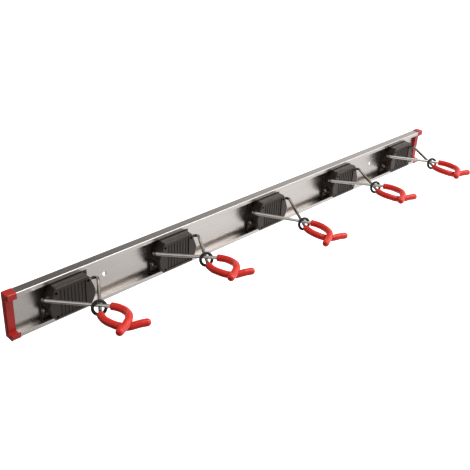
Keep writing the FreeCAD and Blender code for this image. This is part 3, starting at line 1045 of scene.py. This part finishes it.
@dataclass
class Studio:
    """Floor, sky, lamps and camera, in metres, watts and degrees."""

    floor_height: float = -0.42
    floor_reach: float = 14
    floor_tone: Span = (0.1, 0.9)
    floor_tone_span: Span = (-1.2, 0.3)
    floor_gloss: float = 0.36
    floor_gloss_span: Span = (-0.15, 0.45)
    white: Colour = linear("FFFFFF")
    mirrored_sky: Colour = (0.85, 0.85, 0.85, 1)
    dark_end: Colour = (0.15, 0.14, 0.13, 1)
    dark_way: Triple = (0.15, 0.8, 0.58)
    dark_span: Span = (0.74, 0.98)
    window: float = 2.8
    window_way: Triple = (0.67, -0.61, 0.44)
    window_span: Span = (0.6, 0.92)
    fill_colour: Colour = linear("F4F4F4")
    fill: float = 0.74
    dim_fill: float = 0.12
    dim_way: Triple = (-1, -0.25, -0.1)
    dim_span: Span = (0.0, 0.8)
    lamps: tuple[tuple[str, Triple, float, float], ...] = (
        ("key_lamp", (0.8, -0.9, 2.7), 1.6, 44),
        ("streak_lamp", (1.95, -1.75, 1.35), 1.1, 12),
    )
    camera_place: Triple = (-0.90181, -0.82244, 0.61793)
    camera_turn: Triple = (61.0506, -2.6185, -44.3875)
    near_clip: float = 0.01
    focal_length_mm: float = 56.99
    sensor_width_mm: float = 36

    def build(self) -> None:
        """Set up everything that isn't part of the rack."""
        bpy.context.scene.view_settings.view_transform = "Standard"
        self.build_floor()
        self.build_sky()
        for name, place, size, watts in self.lamps:
            self.build_lamp(name, Vector(place), size, watts)
        self.build_camera()

    def build_floor(self) -> None:
        """A pale floor that the camera sees as white and that gives the metal less light on the left."""
        mesh = bpy.data.meshes.new("floor")
        turns = ((-1, -1), (1, -1), (1, 1), (-1, 1))
        corners = [(self.floor_reach * x, self.floor_reach * y, self.floor_height) for x, y in turns]
        mesh.from_pydata(corners, [], [(0, 1, 2, 3)])
        material = bpy.data.materials.new("pale_floor")
        tree = empty_tree(material)
        rays = add_node(tree, "ShaderNodeLightPath").outputs
        place = add_node(tree, "ShaderNodeTexCoord").outputs["Object"]
        across = add_node(tree, "ShaderNodeSeparateXYZ", {"Vector": place}).outputs["X"]
        gloss = graded(tree, across, self.floor_gloss_span, (0, self.floor_gloss))
        seen = add_node(
            tree,
            "ShaderNodeMath",
            {0: rays["Is Glossy Ray"], 1: gloss, 2: rays["Is Camera Ray"]},
            operation="MULTIPLY_ADD",
            use_clamp=True,
        )
        tone = graded(tree, across, self.floor_tone_span, self.floor_tone)
        paint = add_node(tree, "ShaderNodeBsdfDiffuse", {"Color": tone})
        glow = add_node(tree, "ShaderNodeEmission", {"Color": self.white, "Strength": seen.outputs[0]})
        both = add_node(tree, "ShaderNodeAddShader", {0: paint.outputs[0], 1: glow.outputs[0]})
        add_node(tree, "ShaderNodeOutputMaterial", {"Surface": both.outputs[0]})
        mesh.materials.append(material)
        new_piece("floor", mesh)

    def build_sky(self) -> None:
        """A surround that the camera sees as white.

        Mirrored, it has a dark end above and behind the rack and a bright window in front of it on the right.
        As a fill it is dimmer on the left.
        """
        world = bpy.data.worlds.new("surround")
        bpy.context.scene.world = world
        tree = empty_tree(world)
        rays = add_node(tree, "ShaderNodeLightPath").outputs
        way = add_node(tree, "ShaderNodeTexCoord").outputs["Generated"]

        def toward(middle: Triple, span: Span, ends: Span = (0, 1)) -> bpy.types.NodeSocket:
            """Value that goes from one end to the other the nearer a direction is to a middle one."""
            inputs = {0: way, 1: Vector(middle).normalized()}
            nearness = add_node(tree, "ShaderNodeVectorMath", inputs, operation="DOT_PRODUCT")
            return graded(tree, nearness.outputs["Value"], span, ends)

        def light(
            colour: Colour | bpy.types.NodeSocket, strength: float | bpy.types.NodeSocket
        ) -> bpy.types.NodeSocket:
            """Light of a colour and strength from all round."""
            inputs = {"Color": colour, "Strength": strength}
            return add_node(tree, "ShaderNodeBackground", inputs).outputs[0]

        def chosen(
            kind: str, others: bpy.types.NodeSocket, those: bpy.types.NodeSocket
        ) -> bpy.types.NodeSocket:
            """One light for the rays of a kind and another one for all others."""
            return add_node(tree, "ShaderNodeMixShader", {0: rays[kind], 1: others, 2: those}).outputs[0]

        dark = toward(self.dark_way, self.dark_span)
        window = toward(self.window_way, self.window_span, (1, self.window))
        mirrored = light(mixed(tree, dark, self.mirrored_sky, self.dark_end), window)
        fill = light(self.fill_colour, toward(self.dim_way, self.dim_span, (self.fill, self.dim_fill)))
        unseen = chosen("Is Glossy Ray", fill, mirrored)
        whole = chosen("Is Camera Ray", unseen, light(self.white, 1.0))
        add_node(tree, "ShaderNodeOutputWorld", {"Surface": whole})

    def build_lamp(self, name: str, place: Vector, size: float, watts: float) -> None:
        """A square soft lamp that looks at the rack's middle."""
        data = bpy.data.lights.new(name, "AREA")
        data.shape = "SQUARE"
        data.size = size
        data.energy = watts
        lamp = bpy.data.objects.new(name, data)
        bpy.context.scene.collection.objects.link(lamp)
        lamp.location = place
        lamp.rotation_euler = (-place).to_track_quat("-Z", "Y").to_euler()

    def build_camera(self) -> None:
        """The camera in front of the rack's left end, looking along it from above."""
        data = bpy.data.cameras.new("camera")
        data.lens = self.focal_length_mm
        data.sensor_width = self.sensor_width_mm
        data.clip_start = self.near_clip
        camera = bpy.data.objects.new("camera", data)
        bpy.context.scene.collection.objects.link(camera)
        camera.location = self.camera_place
        camera.rotation_euler = Euler([math.radians(turn) for turn in self.camera_turn])
        bpy.context.scene.camera = camera


def main() -> None:
    """Load the frame, dress it, light it and place the camera."""
    logging.basicConfig(level=logging.INFO, format="%(message)s")
    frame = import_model()
    Studio().build()
    Rail().build(frame["nodes"])
    for number in range(1, HOLDER_COUNT + 1):
        Holder(number).build(frame["nodes"], frame["record"]["behaviour"])


if __name__ == "__main__":
    main()
